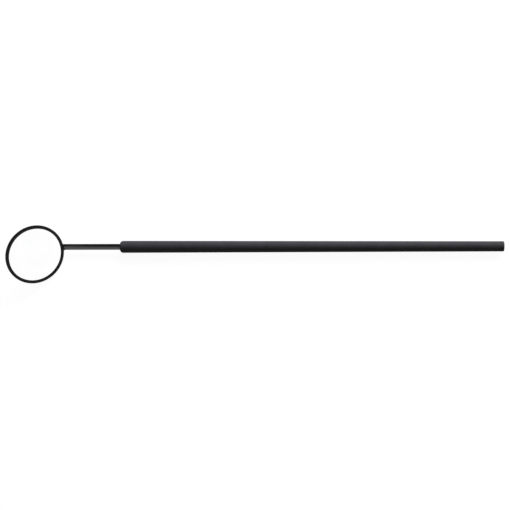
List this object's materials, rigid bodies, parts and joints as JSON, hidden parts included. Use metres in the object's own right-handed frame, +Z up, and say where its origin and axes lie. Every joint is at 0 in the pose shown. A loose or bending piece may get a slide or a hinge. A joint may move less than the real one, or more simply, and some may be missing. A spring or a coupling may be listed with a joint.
{
  "type": "mouth mirror",
  "caption": "Hand-held mouth mirror: a round mirror in a rolled black rim, tipped on a slim steel stem that screws into a long tapering black handle.",
  "frame": {"origin": "middle of the bounding box, on the table that the mirror lies on", "axes": "+X along the handle from the mirror to the rear end, +Z up from the table"},
  "size_m": [0.1758, 0.0202, 0.018],
  "materials": {
    "black_coating": "satin black coating on pressed steel",
    "dark_steel": "drawn and polished, darkened",
    "plain_steel": "machined",
    "mirror": "front-surface reflecting coating",
    "glass": "ground edge",
    "pad": "soft backing",
    "seal": "cured sealing bead",
    "brass": "turned",
    "black_plastic": "fine matt, static dissipative"
  },
  "bodies": {
    "handle": {"grip_sleeve": "black_plastic", "handle_tube": "plain_steel", "threaded_bush": "brass", "rear_plug": "black_plastic"},
    "screw": {"stem_screw": "plain_steel"},
    "mirror_head": {"stem": "dark_steel", "braze_fillet_left": "black_coating", "braze_fillet_right": "black_coating", "mirror_cup": "black_coating", "backing_pad": "pad", "mirror_glass": "glass", "mirror_coating": "mirror", "seal_ring": "seal", "rim_ring": "black_coating"}
  },
  "joints": [
    {"name": "screw_advance", "type": "slide", "parent": "handle", "child": "screw", "axis": [-1, 0, 0.0035], "range_m": [0, 0.00405]},
    {"name": "head_turn", "type": "hinge", "parent": "screw", "child": "mirror_head", "pos_m": [-0.04925, 0.00472, 0.00222], "axis": [-1, 0, 0.0035], "range_deg": [0, 3240]}
  ],
  "couplings": [
    {"joint": "screw_advance", "follows": "head_turn", "m_per_rad": 0.00007162}
  ]
}
